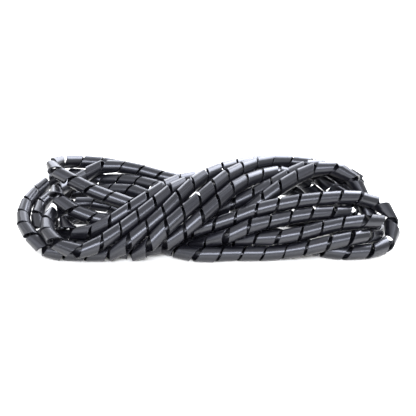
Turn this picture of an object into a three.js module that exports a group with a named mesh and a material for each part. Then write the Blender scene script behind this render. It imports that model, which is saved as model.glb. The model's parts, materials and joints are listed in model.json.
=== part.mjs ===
// Spiral cable wrap: a polyethylene band wound into a slit tube, lying on the floor as a loose hank.
// It is one moulded length, so it is one mesh: the true helical band, followed along its whole route.
// Millimetres, +Z up. The origin is the middle of the hank's footprint, on the floor.
import * as THREE from "three";

// The wrap's own sizes
const OUTER_DIAMETER = 8;
const WALL_THICKNESS = 1;
const BAND_WIDTH = 10.4; // measured along the tube
const SLIT_WIDTH = 1.4; // free gap between two turns of a straight stretch
const TOUCH_GAP = 0.1; // what is left of the slit on the inside of a bend
const STRAND_CLEARANCE = 0.3; // between strands that lie on each other

// How finely the wrap and its route are drawn
const STEPS_PER_TURN = 6;
const ROUTE_SPACING = 4;
const SETTLE_ROUNDS = 300;
const SETTLE_STIFFNESS = 0.06; // how much of a point's kink one round takes out
const SETTLE_HOLD = 0.01; // share of the way back to the chosen route in each round
const OWN_STRETCH = 2.2 * OUTER_DIAMETER; // points nearer than this along the route never push
const NEVER_ZERO = 1e-6;
const ARC_DIVISIONS = 20; // for each guide point, when lengths are measured
const LEAST_INSIDE = 0.35; // smallest share of a turn's length left on the inside of a bend

const COLOUR = 0x1c1c20;
const ROUGHNESS = 0.38;

const radius = OUTER_DIAMETER / 2;
const freePitch = BAND_WIDTH + SLIT_WIDTH;

// The route's guide points, chosen by hand, from one cut end to the other. Seven loops: on the left the
// strands that run right lie in front, on the right they lie behind, so the hank is half a turn twisted.
const GUIDE_POINTS = [
  // Hidden end, then the innermost strand over the front
  [-79, -6, 13], [-83, -12, 12], [-82, -18, 10], [-77, -23, 8], [-70, -25, 10], [-61, -26, 15],
  [-51, -25, 21], [-43, -21, 25], [-34, -15, 29], [-25, -8, 32], [-10, 5, 32], [4, 14, 30],
  [19, 21, 29], [34, 26, 27], [50, 30, 25],
  // Its bend on the right, its return along the top right, then low behind on the left
  [62, 33, 23], [73, 33, 21], [82, 28, 21], [84, 21, 23], [85, 14, 26], [84, 9, 30], [80, 8, 33],
  [74, 9, 36], [66, 9, 38], [58, 7, 39], [53, 5, 39], [42, 0, 35],
  [32, -6, 32], [22, -12, 28], [12, -16, 24], [4, -17, 20], [-11, -8, 19], [-21, 6, 22],
  [-32, 16, 23], [-44, 23, 24], [-63, 29, 24], [-78, 34, 25],
  // Outermost bend on the left, then the second strand over the front and the top
  [-87, 34, 25], [-95, 29, 24], [-102, 20, 21], [-106, 5, 18], [-106, -4, 15], [-104, -13, 12],
  [-99, -21, 10], [-93, -29, 8], [-87, -34, 5], [-80, -37, 4], [-71, -37, 4], [-64, -37, 4],
  [-57, -38, 5], [-51, -39, 7], [-45, -39, 10], [-40, -38, 14], [-31, -33, 20], [-22, -27, 28],
  [-15, -19, 33], [-8, -10, 37], [-1, -4, 38], [9, 6, 39], [18, 14, 38], [32, 22, 37], [46, 25, 35],
  // Its bend on the right, its return in the middle of the front, then low inside on the left
  [57, 24, 31], [64, 19, 27], [70, 12, 24], [75, 4, 23], [79, -5, 23], [80, -13, 22], [76, -19, 22],
  [67, -23, 22], [54, -26, 23], [42, -28, 22], [30, -31, 19], [18, -34, 16], [12, -36, 14],
  [6, -37, 12], [0, -35, 10], [-5, -30, 7], [-11, -26, 4], [-18, -20, 4], [-27, -13, 6],
  [-37, -5, 8], [-48, 2, 12], [-60, 5, 15], [-72, 5, 17], [-81, 1, 18],
  // Innermost bend on the left, then the strand behind the second one
  [-87, -4, 18], [-91, -10, 17], [-92, -17, 14], [-91, -26, 12], [-88, -34, 10], [-81, -40, 8],
  [-75, -43, 8], [-70, -44, 8], [-64, -43, 10], [-57, -41, 12], [-51, -38, 14], [-45, -34, 18],
  [-39, -29, 23], [-30, -23, 28], [-23, -14, 32], [-16, -7, 34], [-8, 1, 30], [4, 3, 23],
  [17, -2, 17],
  // Its bend low on the right, then its return along the back
  [32, -9, 13], [46, -12, 13], [58, -14, 12], [70, -15, 9], [80, -11, 6], [87, -3, 5], [87, 7, 4],
  [80, 16, 5], [68, 23, 9], [58, 27, 14], [45, 29, 17], [28, 30, 18], [10, 29, 19], [-5, 28, 21], [-17, 27, 23],
  [-32, 28, 26], [-45, 31, 29], [-55, 33, 30], [-66, 32, 29], [-74, 27, 27], [-80, 20, 25],
  // High bend on the left, then under the front strands and along the right
  [-86, 12, 25], [-90, 5, 25], [-89, -4, 24], [-82, -11, 21], [-72, -15, 18], [-64, -17, 16],
  [-54, -18, 14], [-41, -22, 12], [-31, -24, 12], [-24, -27, 12], [-17, -29, 12], [-8, -30, 14],
  [3, -30, 18], [14, -28, 21], [24, -26, 25], [36, -25, 27], [48, -23, 28], [60, -20, 29],
  [73, -17, 28], [82, -14, 24],
  // Outermost bend on the right, then back along the floor
  [88, -11, 20], [93, -10, 18], [97, -11, 16], [100, -15, 13], [99, -19, 10], [97, -24, 7],
  [91, -28, 4], [83, -33, 4], [72, -36, 4], [61, -33, 4], [48, -26, 5], [36, -18, 7],
  [22, -14, 7], [9, -12, 5], [-2, -12, 4], [-11, -8, 4], [-19, 0, 4], [-28, 6, 4], [-38, 10, 4], [-50, 12, 4],
  [-62, 12, 4], [-74, 12, 5],
  // Low bend on the left, then the last of the strands over the front
  [-84, 10, 6], [-91, 4, 7], [-92, -4, 7], [-87, -12, 5], [-79, -15, 4], [-70, -16, 4], [-62, -20, 4],
  [-51, -25, 4], [-45, -28, 4], [-39, -31, 4], [-34, -36, 6], [-28, -37, 10], [-17, -34, 16],
  [-7, -30, 22], [2, -25, 29], [10, -17, 33], [18, -9, 35], [27, -2, 35], [37, 5, 36],
  [49, 11, 31], [58, 13, 25], [66, 15, 18],
  // Its return along the back, rising on the left
  [75, 18, 14], [84, 24, 13], [89, 31, 14], [86, 39, 15], [78, 44, 17], [66, 46, 19], [45, 47, 21], [26, 46, 22],
  [7, 43, 17], [-6, 41, 15], [-18, 39, 17], [-27, 39, 20], [-46, 40, 25], [-64, 40, 30],
  [-73, 39, 31], [-81, 37, 32],
  // Top bend on the left, then down under the front strands and up on the right
  [-88, 32, 34], [-93, 25, 35], [-94, 17, 36], [-91, 10, 35], [-84, 4, 34], [-76, 0, 31],
  [-68, -4, 28], [-59, -6, 25], [-50, -7, 23], [-40, -10, 19], [-27, -14, 14], [-10, -18, 12],
  [4, -18, 14], [13, -20, 19], [22, -19, 25], [28, -17, 28], [37, -13, 33], [48, -7, 37],
  [54, -3, 39], [61, -2, 41], [69, -1, 40],
  // Its bend on the right, its return low in front, then low inside on the left
  [74, -1, 38], [78, -1, 36], [82, -2, 32], [84, -4, 27], [87, -7, 22], [91, -11, 18], [94, -15, 15],
  [95, -20, 15], [92, -25, 16], [85, -28, 17], [73, -29, 18], [60, -32, 17], [48, -35, 14],
  [36, -36, 13], [25, -36, 10], [14, -32, 7], [6, -29, 6], [-2, -24, 4], [-10, -18, 4],
  [-19, -9, 5], [-29, 2, 13], [-39, 12, 20], [-52, 16, 21], [-64, 19, 20], [-77, 21, 19],
  // Second bend on the left, then the highest strand over the front and the top
  [-87, 20, 18], [-94, 17, 18], [-99, 10, 17], [-101, -2, 15], [-101, -11, 13], [-99, -19, 10],
  [-94, -26, 7], [-87, -29, 4], [-76, -29, 4], [-64, -29, 4], [-57, -30, 4], [-51, -32, 4],
  [-45, -35, 4], [-40, -38, 6], [-34, -38, 11], [-27, -37, 16], [-17, -33, 23], [-8, -26, 29],
  [0, -18, 34], [7, -9, 38], [13, -4, 39], [23, 6, 40], [34, 13, 40], [49, 17, 38], [65, 17, 35],
  // Its bend on the right, then the lowest front strand, to the other cut end
  [72, 16, 31], [78, 14, 25], [84, 12, 18], [90, 9, 12], [95, 3, 8], [97, -5, 6], [95, -13, 6],
  [94, -20, 8], [91, -26, 10], [85, -31, 10], [73, -36, 11], [59, -39, 10], [46, -38, 7], [34, -36, 4],
  [22, -35, 4], [10, -35, 4], [0, -36, 4], [-7, -37, 4], [-14, -37, 4], [-20, -35, 4],
  [-26, -32, 4], [-31, -27, 4],
];

// The chosen route, settled: strands are pushed off each other and off the floor, and bends are eased.
function settledRoute() {
  const guides = GUIDE_POINTS.map((p) => new THREE.Vector3(...p));
  const chosen = new THREE.CatmullRomCurve3(guides, false, "centripetal");
  chosen.arcLengthDivisions = guides.length * ARC_DIVISIONS;
  const count = Math.round(chosen.getLength() / ROUTE_SPACING);
  const targets = chosen.getSpacedPoints(count);
  const points = targets.map((p) => p.clone());
  const ownStretch = Math.ceil(OWN_STRETCH / ROUTE_SPACING);
  for (let round = 0; round < SETTLE_ROUNDS; round++) {
    easeBends(points, targets);
    pushApart(points, ownStretch);
    for (const p of points) p.z = Math.max(p.z, radius);
  }
  return points;
}

// One round of easing: a kink is the change of bend from point to point, and each point also goes a
// little towards its own target. A steady bend keeps its radius.
function easeBends(points, targets) {
  const before = points.map((p) => p.clone());
  const kink = new THREE.Vector3();
  for (let i = 2; i < points.length - 2; i++) {
    kink.addVectors(before[i - 2], before[i + 2]).addScaledVector(before[i], 6);
    kink.addScaledVector(before[i - 1], -4).addScaledVector(before[i + 1], -4);
    points[i].addScaledVector(kink, -SETTLE_STIFFNESS).lerp(targets[i], SETTLE_HOLD);
  }
}

// One round of contact: two points of different stretches that are too close move apart by half each.
function pushApart(points, ownStretch) {
  const reach = OUTER_DIAMETER + STRAND_CLEARANCE;
  const apart = new THREE.Vector3();
  for (let i = 0; i < points.length; i++) {
    for (let j = i + ownStretch; j < points.length; j++) {
      apart.subVectors(points[j], points[i]);
      if (Math.abs(apart.x) > reach || apart.lengthSq() > reach * reach) continue;
      const distance = Math.max(apart.length(), NEVER_ZERO);
      apart.multiplyScalar((reach - distance) / distance / 2);
      points[j].add(apart);
      points[i].sub(apart);
    }
  }
}

// The middle line of the wound band: it turns left-handed about the route, one turn for each pitch.
class WoundBand extends THREE.Curve {
  constructor(routePoints) {
    super();
    this.route = new THREE.CatmullRomCurve3(routePoints, false, "centripetal");
    this.route.arcLengthDivisions = routePoints.length * ARC_DIVISIONS;
    this.measure();
  }

  // Walks the route with a frame that doesn't twist, and counts the turns so far at each sample.
  measure() {
    const length = this.route.getLength();
    const count = Math.ceil(length);
    const spacing = length / count;
    this.centres = this.route.getSpacedPoints(count);
    this.tangents = this.centres.map((_, i) => {
      const behind = this.centres[Math.max(i - 1, 0)];
      const ahead = this.centres[Math.min(i + 1, count)];
      return new THREE.Vector3().subVectors(ahead, behind).normalize();
    });
    this.turns = [0];
    this.sides = [new THREE.Vector3(0, 0, 1).cross(this.tangents[0]).normalize()];
    for (let i = 1; i <= count; i++) {
      const side = this.sides[i - 1].clone().projectOnPlane(this.tangents[i]).normalize();
      this.sides.push(side);
      this.turns.push(this.turns[i - 1] + spacing / this.pitchAt(i, spacing));
    }
  }

  // In a bend, measured over one diameter of route, the turns open until their inner edges clear each other.
  pitchAt(i, spacing) {
    const reach = Math.max(Math.round(radius / spacing), 1);
    const from = Math.max(i - reach, 0);
    const to = Math.min(i + reach, this.tangents.length - 1);
    const bend = this.tangents[from].angleTo(this.tangents[to]) / ((to - from) * spacing);
    const inside = Math.max(1 - radius * bend, LEAST_INSIDE);
    return Math.max(freePitch, (BAND_WIDTH + TOUCH_GAP) / inside);
  }

  // The band's middle, its outward direction and the route's direction after so many turns.
  frameAt(turn) {
    let i = this.turns.findIndex((value) => value >= turn);
    i = i < 1 ? 1 : i;
    const share = (turn - this.turns[i - 1]) / (this.turns[i] - this.turns[i - 1]);
    const centre = this.centres[i - 1].clone().lerp(this.centres[i], share);
    const along = this.tangents[i - 1].clone().lerp(this.tangents[i], share).normalize();
    const side = this.sides[i - 1].clone().lerp(this.sides[i], share).projectOnPlane(along).normalize();
    const outward = side.applyAxisAngle(along, -2 * Math.PI * turn);
    return { middle: centre.addScaledVector(outward, radius - WALL_THICKNESS / 2), outward, along };
  }

  stepCount() {
    return Math.floor(this.turns[this.turns.length - 1] * STEPS_PER_TURN);
  }

  getPoint(share) {
    return this.frameAt((share * this.stepCount()) / STEPS_PER_TURN).middle;
  }

  getSpacedPoints(steps) {
    return Array.from({ length: steps + 1 }, (_, k) => this.getPoint(k / steps));
  }

  // The section's x runs outward and its y along the route, whatever way the band itself climbs.
  computeFrenetFrames(steps) {
    const frames = { tangents: [], normals: [], binormals: [] };
    for (let k = 0; k <= steps; k++) {
      const { outward, along } = this.frameAt((k / steps) * (this.stepCount() / STEPS_PER_TURN));
      frames.normals.push(outward);
      frames.binormals.push(along);
      frames.tangents.push(new THREE.Vector3().crossVectors(outward, along));
    }
    return frames;
  }
}

// The band's section: a plain rectangle, as wide as the band and as thick as the wall.
function bandSection() {
  const section = new THREE.Shape();
  section.moveTo(-WALL_THICKNESS / 2, -BAND_WIDTH / 2);
  section.lineTo(WALL_THICKNESS / 2, -BAND_WIDTH / 2);
  section.lineTo(WALL_THICKNESS / 2, BAND_WIDTH / 2);
  section.lineTo(-WALL_THICKNESS / 2, BAND_WIDTH / 2);
  section.closePath();
  return section;
}

function spiralWrap() {
  const band = new WoundBand(settledRoute());
  const geometry = new THREE.ExtrudeGeometry(bandSection(), {
    steps: band.stepCount(),
    extrudePath: band,
    bevelEnabled: false,
  });
  geometry.computeBoundingBox();
  const { min, max } = geometry.boundingBox;
  geometry.translate(-(min.x + max.x) / 2, -(min.y + max.y) / 2, -min.z);
  const material = new THREE.MeshStandardMaterial({ color: COLOUR, roughness: ROUGHNESS, metalness: 0 });
  const mesh = new THREE.Mesh(geometry, material);
  mesh.name = "spiral_wrap";
  return mesh;
}

const hank = new THREE.Group();
hank.add(spiralWrap());

export default hank;
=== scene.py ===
"""Spiral cable wrap: one length of wound black band, lying as a loose hank on a pale floor."""
import json
import math

import bpy
import numpy as np
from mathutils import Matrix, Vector


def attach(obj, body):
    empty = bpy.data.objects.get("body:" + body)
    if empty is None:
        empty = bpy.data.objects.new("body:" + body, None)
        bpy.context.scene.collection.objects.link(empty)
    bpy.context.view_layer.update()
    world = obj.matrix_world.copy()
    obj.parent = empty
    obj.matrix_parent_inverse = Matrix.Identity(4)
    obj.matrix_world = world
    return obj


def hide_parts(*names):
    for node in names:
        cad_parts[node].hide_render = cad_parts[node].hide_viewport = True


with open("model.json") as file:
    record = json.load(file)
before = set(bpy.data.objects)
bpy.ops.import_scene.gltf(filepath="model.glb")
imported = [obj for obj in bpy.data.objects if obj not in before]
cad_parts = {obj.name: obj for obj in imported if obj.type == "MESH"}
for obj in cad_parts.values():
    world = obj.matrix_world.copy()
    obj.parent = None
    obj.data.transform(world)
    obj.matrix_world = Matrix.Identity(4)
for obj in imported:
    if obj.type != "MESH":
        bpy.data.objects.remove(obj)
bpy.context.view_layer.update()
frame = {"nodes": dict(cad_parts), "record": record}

# The wrap's own sizes, in metres
OUTER_DIAMETER = 0.008
WALL_THICKNESS = 0.001
BAND_WIDTH = 0.0104
EDGE_ROUNDING = 0.0002
RADIUS = OUTER_DIAMETER / 2

# How the band is stepped along its route
STEPS_PER_TURN = 6  # sections of the CAD band in one turn
FINE_STEPS = 4  # rows drawn for each of those sections

# Finding the sections in the CAD band's mesh
WELD_DIGITS = 6  # corners that agree to a micrometre are one
CUT_END_REACH = BAND_WIDTH / 4  # how near the mount the middle of a cut end's face lies
CUT_END_FACING = 0.99  # least cosine between that face's normal and the mount's axis

# The rounded corners of the band's cross-section
QUARTER_TURN = math.radians(90.0)
ROUNDING_SHARES = (0.0, 0.5, 1.0)  # where the rounding's points lie in its quarter turn

# The black plastic. The streaks' scales are along the band, in turns, and across it, in widths.
DARK_STREAK = (0.002, 0.002, 0.003, 1.0)
PALE_STREAK = (0.005, 0.005, 0.007, 1.0)
PLASTIC_IOR = 1.52
COOL_SHEEN = (0.92, 0.935, 1.0, 1.0)
ROUGHNESS_RANGE = (0.25, 0.33)
FINE_STREAKS = (110.0, 0.3)
BROAD_STREAKS = (10.0, 0.15)
FINE_NOISE_RANGE = (0.25, 0.75)
BROAD_NOISE_RANGE = (0.3, 0.7)
BUMP_STRENGTH = 0.05
BUMP_DISTANCE = 0.00002

# The floor is slightly warm, which offsets the cool lights
FLOOR_COLOUR = (0.95, 0.93, 0.86, 1.0)
FLOOR_ROUGHNESS = 0.7
FLOOR_HALF = 3.0

# The lights: name, place, size and power in watts. All of them point at one spot.
COOL_WHITE = (0.86, 0.89, 1.0)
LIT_SPOT = Vector((0.0, 0.0, 0.02))
LIGHTS = (
    ("key", (0.53, 0.53, 0.80), (0.8, 0.6), 24.0),
    ("overhead", (0.0, 0.0, 0.9), (2.0, 1.2), 3.0),
    ("behind", (0.0, 1.05, 0.6), (1.8, 0.7), 24.0),
    ("front", (0.0, -1.1, 0.75), (1.4, 0.36), 34.0),
    ("low front", (0.0, -1.5, 0.35), (2.4, 0.5), 4.0),
    ("left", (-1.15, -0.2, 0.6), (1.2, 0.8), 6.0),
)
SURROUND_COLOUR = (1.0, 1.0, 1.0, 1.0)
SURROUND_STRENGTH = 1.0

# The photograph's view: 416 pixels square, with the hank's middle above the picture's
IMAGE_SIZE = 416
VIEW_ELEVATION = math.radians(20.0)
VIEW_DISTANCE = 0.480
FOCAL_PIXELS = 833.0
SENSOR_WIDTH = 36.0
VIEW_CENTRE = Vector((0.0, 0.0, 0.025))
CENTRE_COLUMN = 206.1
CENTRE_ROW = 193.4


def add_object(name, data):
    """A new object in the scene, made of this data."""
    added = bpy.data.objects.new(name, data)
    bpy.context.scene.collection.objects.link(added)
    return added


def unit(vectors):
    """The same directions, each one unit long."""
    return vectors / np.linalg.norm(vectors, axis=1, keepdims=True)


def section_corners(node, end_point, end_normal):
    """The four corners of each section of the CAD band, from the cut end that the record names."""
    mesh = node.data
    places = np.array([v.co for v in mesh.vertices], float)
    rounded, joined = np.unique(np.round(places, WELD_DIGITS), axis=0, return_inverse=True)
    joined = joined.reshape(-1)
    beside = [set() for _ in rounded]
    level = set()
    for face in mesh.polygons:
        corners = [int(joined[i]) for i in face.vertices]
        for a in corners:
            beside[a].update(corners)
        centre = rounded[corners].mean(axis=0)
        near = np.linalg.norm(centre - end_point) < CUT_END_REACH
        if near and float(np.dot(face.normal, end_normal)) > CUT_END_FACING:
            level.update(corners)
    # From the cut end's corners, each round of neighbours is the next section
    seen = set(level)
    sections = []
    while level:
        sections.append(rounded[sorted(level)])
        level = set().union(*(beside[a] for a in level)) - seen
        seen |= level
    return np.array(sections)


def section_frames(sections):
    """Each section's middle, its outward direction and the direction of the route there."""
    middles = sections.mean(axis=1)
    last = len(middles) - 1
    outward = np.zeros_like(middles)
    along = np.zeros_like(middles)
    for k, corners in enumerate(sections):
        # A corner's nearest neighbour is the one through the wall. The other two lie across.
        gaps = np.linalg.norm(corners[1:] - corners[0], axis=1)
        mate = int(np.argmin(gaps)) + 1
        others = [i for i in (1, 2, 3) if i != mate]
        through = corners[mate] - corners[0]
        across = (corners[0] + corners[mate]) / 2 - corners[others].mean(axis=0)
        low = max(k - STEPS_PER_TURN // 2, 0)
        around = middles[low:low + STEPS_PER_TURN].mean(axis=0)
        ahead = middles[min(k + STEPS_PER_TURN, last)] - middles[max(k - STEPS_PER_TURN, 0)]
        outward[k] = through * np.sign(np.dot(through, middles[k] - around))
        along[k] = across * np.sign(np.dot(across, ahead))
    return middles, unit(outward), unit(along)


def fine_frames(middles, outward, along):
    """The route's centre, outward and forward directions and turns so far, at every fine row."""
    centres = middles - outward * (RADIUS - WALL_THICKNESS / 2)
    last = len(centres) - 1
    rows = np.arange(last * FINE_STEPS + 1) / FINE_STEPS
    k = np.minimum(rows.astype(int), last - 1)
    share = (rows - k)[:, None]
    # A smooth curve through the centres
    before, after = centres[np.maximum(k - 1, 0)], centres[np.minimum(k + 2, last)]
    start, end = centres[k], centres[k + 1]
    leave, arrive = (end - before) / 2, (after - start) / 2
    square, cube = share ** 2, share ** 3
    route = (
        start * (2 * cube - 3 * square + 1)
        + leave * (cube - 2 * square + share)
        + end * (3 * square - 2 * cube)
        + arrive * (cube - square)
    )
    forward = unit(along[k] * (1 - share) + along[k + 1] * share)
    # The outward direction swings evenly from one section to the next, square to the route
    turn = np.arccos(np.clip((outward[k] * outward[k + 1]).sum(axis=1), -1, 1))[:, None]
    spin = outward[k] * np.sin((1 - share) * turn) + outward[k + 1] * np.sin(share * turn)
    spin /= np.sin(turn)
    spin -= forward * (spin * forward).sum(axis=1, keepdims=True)
    return route, unit(spin), forward, rows / STEPS_PER_TURN


def band_profile():
    """The band's cross-section, with its four edges rounded.

    For each point: its depth from the outer face, its place across the band, and the angle
    that it faces, from straight out towards the band's front edge.
    """
    half = BAND_WIDTH / 2
    corners = [(0, half), (-WALL_THICKNESS, half), (-WALL_THICKNESS, -half), (0, -half)]
    profile = []
    for quarter, (depth, place) in enumerate(corners):
        centre_depth = depth + (EDGE_ROUNDING if depth else -EDGE_ROUNDING)
        centre_place = place - math.copysign(EDGE_ROUNDING, place)
        for share in ROUNDING_SHARES:
            swing = (quarter + share) * QUARTER_TURN
            profile.append((
                centre_depth + EDGE_ROUNDING * math.cos(swing),
                centre_place + EDGE_ROUNDING * math.sin(swing),
                swing,
            ))
    return np.array(profile).T


def wound_band(route, outward, forward, turns):
    """The band as one closed mesh. Its UV holds the turns so far and the place across the band."""
    depth, place, swing = band_profile()
    points = (
        route[:, None, :]
        + outward[:, None, :] * (RADIUS + depth)[None, :, None]
        + forward[:, None, :] * place[None, :, None]
    )
    rows, around = points.shape[:2]
    first = np.arange(rows - 1)[:, None] * around
    a = first + np.arange(around)
    b = first + (np.arange(around) + 1) % around
    faces = np.stack([a, b, b + around, a + around], axis=-1).reshape(-1, 4)
    lids = [list(range(around))[::-1], list(range((rows - 1) * around, rows * around))]
    mesh = bpy.data.meshes.new("wound_band")
    mesh.from_pydata(points.reshape(-1, 3).tolist(), [], faces.tolist() + lids)
    uv = mesh.uv_layers.new(name="wrap")
    corner = np.zeros(len(mesh.loops), int)
    mesh.loops.foreach_get("vertex_index", corner)
    across = place[corner % around] / BAND_WIDTH + 0.5
    uv.data.foreach_set("uv", np.stack([turns[corner // around], across], axis=-1).ravel())
    mesh.polygons.foreach_set("use_smooth", np.ones(len(mesh.polygons), bool))
    facing = (
        outward[:, None, :] * np.cos(swing)[None, :, None]
        + forward[:, None, :] * np.sin(swing)[None, :, None]
    ).reshape(-1, 3)[corner]
    # The two lids come last, and are flat
    facing[-2 * around:-around] = mesh.polygons[-2].normal
    facing[-around:] = mesh.polygons[-1].normal
    mesh.normals_split_custom_set(facing.tolist())
    mesh.update()
    return add_object("wound_band", mesh)


def new_material(name):
    """A new material, with its node tree and its shader."""
    material = bpy.data.materials.new(name)
    material.use_nodes = True
    tree = material.node_tree
    return material, tree, tree.nodes["Principled BSDF"]


def black_polyethylene():
    """Black extruded plastic: a soft gloss, with the fine drawn lines of its tube."""
    material, tree, shader = new_material("black_polyethylene")
    nodes, links = tree.nodes, tree.links
    shader.inputs["IOR"].default_value = PLASTIC_IOR
    shader.inputs["Specular Tint"].default_value = COOL_SHEEN
    uv = nodes.new("ShaderNodeUVMap")
    uv.uv_map = "wrap"

    def streaks(turn_scale, across_scale):
        mapping = nodes.new("ShaderNodeMapping")
        mapping.inputs["Scale"].default_value = (turn_scale, across_scale, 1.0)
        noise = nodes.new("ShaderNodeTexNoise")
        noise.noise_dimensions = "2D"
        noise.inputs["Scale"].default_value = 1.0
        noise.inputs["Detail"].default_value = 1.0
        links.new(uv.outputs["UV"], mapping.inputs["Vector"])
        links.new(mapping.outputs["Vector"], noise.inputs["Vector"])
        return noise.outputs["Fac"]

    def stretched(value, source, result=(0.0, 1.0)):
        ranges = nodes.new("ShaderNodeMapRange")
        ranges.inputs["From Min"].default_value, ranges.inputs["From Max"].default_value = source
        ranges.inputs["To Min"].default_value, ranges.inputs["To Max"].default_value = result
        links.new(value, ranges.inputs["Value"])
        return ranges.outputs["Result"]

    fine = streaks(*FINE_STREAKS)
    broad = streaks(*BROAD_STREAKS)
    colour = nodes.new("ShaderNodeMix")
    colour.data_type = "RGBA"
    colour.inputs["A"].default_value = DARK_STREAK
    colour.inputs["B"].default_value = PALE_STREAK
    links.new(stretched(broad, BROAD_NOISE_RANGE), colour.inputs["Factor"])
    links.new(colour.outputs["Result"], shader.inputs["Base Color"])
    roughness = stretched(fine, FINE_NOISE_RANGE, ROUGHNESS_RANGE)
    links.new(roughness, shader.inputs["Roughness"])
    bump = nodes.new("ShaderNodeBump")
    bump.inputs["Strength"].default_value = BUMP_STRENGTH
    bump.inputs["Distance"].default_value = BUMP_DISTANCE
    links.new(fine, bump.inputs["Height"])
    links.new(bump.outputs["Normal"], shader.inputs["Normal"])
    return material


def pale_floor(height):
    """A plain floor at the height of the wrap's lowest point."""
    material, _, shader = new_material("pale_floor")
    shader.inputs["Base Color"].default_value = FLOOR_COLOUR
    shader.inputs["Roughness"].default_value = FLOOR_ROUGHNESS
    half = FLOOR_HALF
    sides = ((-half, -half), (half, -half), (half, half), (-half, half))
    mesh = bpy.data.meshes.new("floor")
    mesh.from_pydata([(x, y, height) for x, y in sides], [], [(0, 1, 2, 3)])
    mesh.materials.append(material)
    add_object("floor", mesh)


def studio():
    """A key light high behind on the right, softer ones all round, and a white surround."""
    for name, place, size, power in LIGHTS:
        light = bpy.data.lights.new(name, "AREA")
        light.shape = "RECTANGLE"
        light.size, light.size_y = size
        light.energy = power
        light.color = COOL_WHITE
        lamp = add_object(name, light)
        lamp.location = place
        lamp.rotation_euler = (LIT_SPOT - Vector(place)).to_track_quat("-Z", "Y").to_euler()
    world = bpy.data.worlds.new("surround")
    world.use_nodes = True
    background = world.node_tree.nodes["Background"]
    background.inputs["Color"].default_value = SURROUND_COLOUR
    background.inputs["Strength"].default_value = SURROUND_STRENGTH
    bpy.context.scene.world = world
    bpy.context.scene.view_settings.view_transform = "Standard"


def camera():
    """The photograph's camera: it looks at the hank from a little above, from the front."""
    lens = bpy.data.cameras.new("camera")
    lens.lens = FOCAL_PIXELS * SENSOR_WIDTH / IMAGE_SIZE
    lens.sensor_width = SENSOR_WIDTH
    eye = add_object("camera", lens)
    back = Vector((0.0, -math.cos(VIEW_ELEVATION), math.sin(VIEW_ELEVATION)))
    eye.location = VIEW_CENTRE + back * VIEW_DISTANCE
    lowered = math.atan((IMAGE_SIZE / 2 - CENTRE_ROW) / FOCAL_PIXELS)
    turned = math.atan((CENTRE_COLUMN - IMAGE_SIZE / 2) / FOCAL_PIXELS)
    eye.rotation_euler = (math.pi / 2 - VIEW_ELEVATION - lowered, 0.0, turned)
    bpy.context.scene.camera = eye


def spiral_wrap():
    """The fine band in the place of the CAD band."""
    mount = frame["record"]["mounts"][0]
    end_point, end_normal = np.array(mount["pos_m"]), np.array(mount["axis"])
    sections = section_corners(frame["nodes"]["spiral_wrap"], end_point, end_normal)
    route, outward, forward, turns = fine_frames(*section_frames(sections))
    band = wound_band(route, outward, forward, turns)
    band.data.materials.append(black_polyethylene())
    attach(band, "root")
    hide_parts("spiral_wrap")
    return band


band = spiral_wrap()
bpy.context.view_layer.update()
pale_floor(min(v.co.z for v in band.data.vertices))
camera()
studio()
